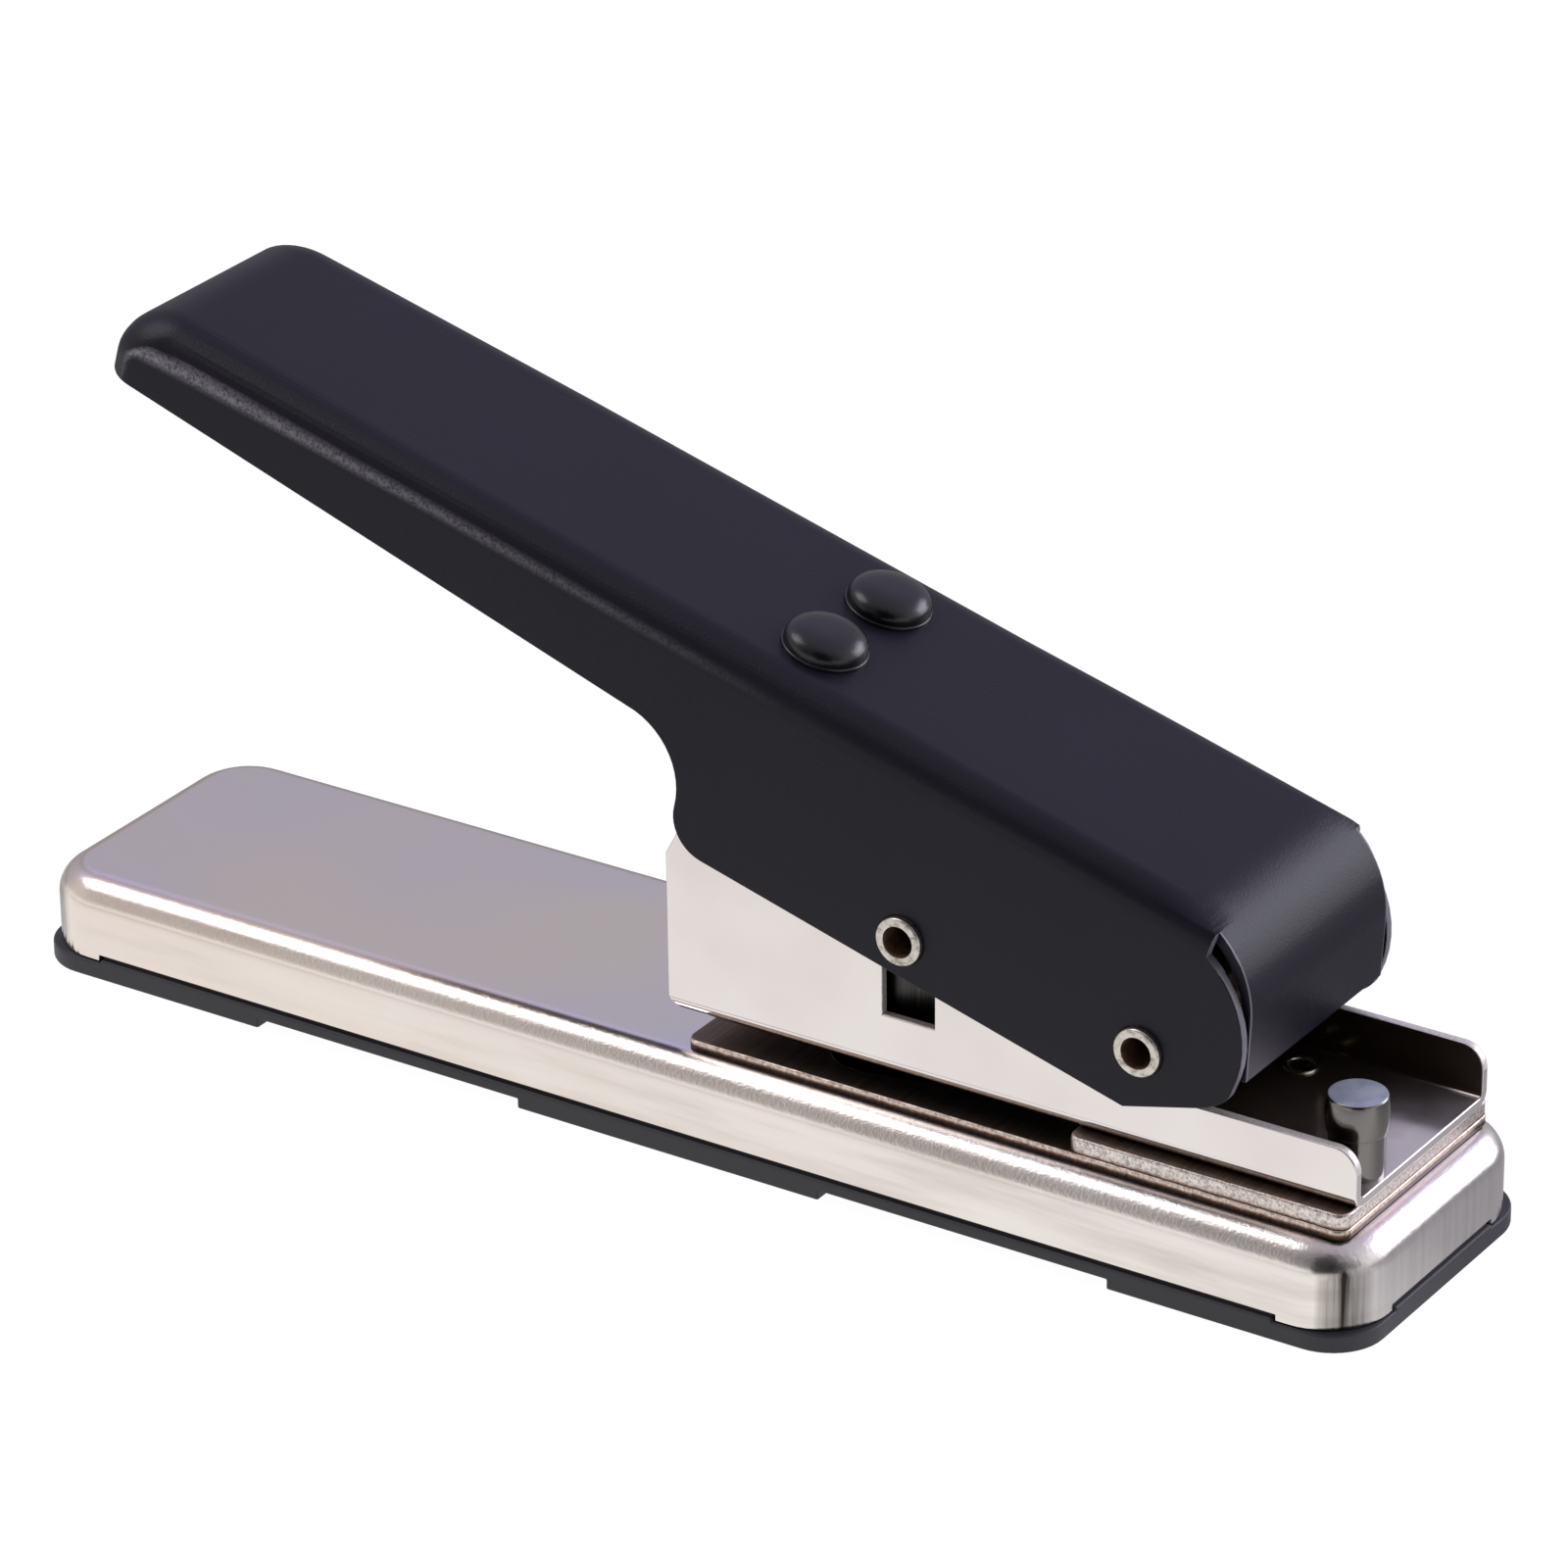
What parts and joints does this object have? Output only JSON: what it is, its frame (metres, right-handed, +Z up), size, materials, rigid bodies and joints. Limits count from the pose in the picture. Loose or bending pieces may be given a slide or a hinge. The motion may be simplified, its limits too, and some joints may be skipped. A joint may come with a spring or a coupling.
{
  "type": "guitar pick punch",
  "caption": "Desk punch with a long sprung lever over a folded guide channel and flat base; pressing the lever drives a pick-shaped punch through a sheet slot into a die.",
  "frame": {"origin": "centre of the tray's footprint, on the surface that the punch stands on", "axes": "+X along the base to the front, where the lever's pivot is; +Z up; +Y to the left of someone who faces +X"},
  "size_m": [0.18, 0.0404, 0.0852],
  "materials": {
    "black_plastic": "matte moulded plastic",
    "nickel_shell": "satin nickel plate on drawn steel",
    "stack_steel": "ground faces with sheared edges",
    "nickel_channel": "bright nickel plate on folded steel",
    "zinc_plate": "zinc plate",
    "eyelet_steel": "plated steel",
    "black_coat": "satin black coat on folded steel",
    "black_rivet": "semi-gloss black",
    "spring_steel": "blued spring steel",
    "pin_steel": "nickel-plated tube",
    "tool_steel": "ground tool steel"
  },
  "bodies": {
    "base": {"base_shell": "nickel_shell", "die_plate": "stack_steel", "spacer_plate": "stack_steel", "guide_channel": "nickel_channel", "front_post": "zinc_plate", "stack_eyelets": "eyelet_steel"},
    "handle": {"lever": "black_coat", "top_rivets": "black_rivet", "leaf_spring": "spring_steel", "pivot_pin": "pin_steel", "drive_pin": "pin_steel"},
    "ram": {"punch": "tool_steel"},
    "bottom": {"tray": "black_plastic"}
  },
  "joints": [
    {"name": "lever_hinge", "type": "hinge", "parent": "base", "child": "handle", "pos_m": [0.0607, 0, 0.0283], "axis": [0, -1, 0], "range_deg": [0, 14.5], "stiffness_Nm_per_rad": 1.2, "springref_deg": -20.05, "deforming": ["leaf_spring"]},
    {"name": "punch_slide", "type": "slide", "parent": "base", "child": "ram", "axis": [0, 0, -1], "range_m": [0, 0.0079]},
    {"name": "tray_pull", "type": "slide", "parent": "base", "child": "bottom", "axis": [0, 0, -1], "range_m": [0, 0.016]}
  ],
  "couplings": [
    {"joint": "punch_slide", "follows": "lever_hinge", "m_per_rad": 0.03075}
  ]
}
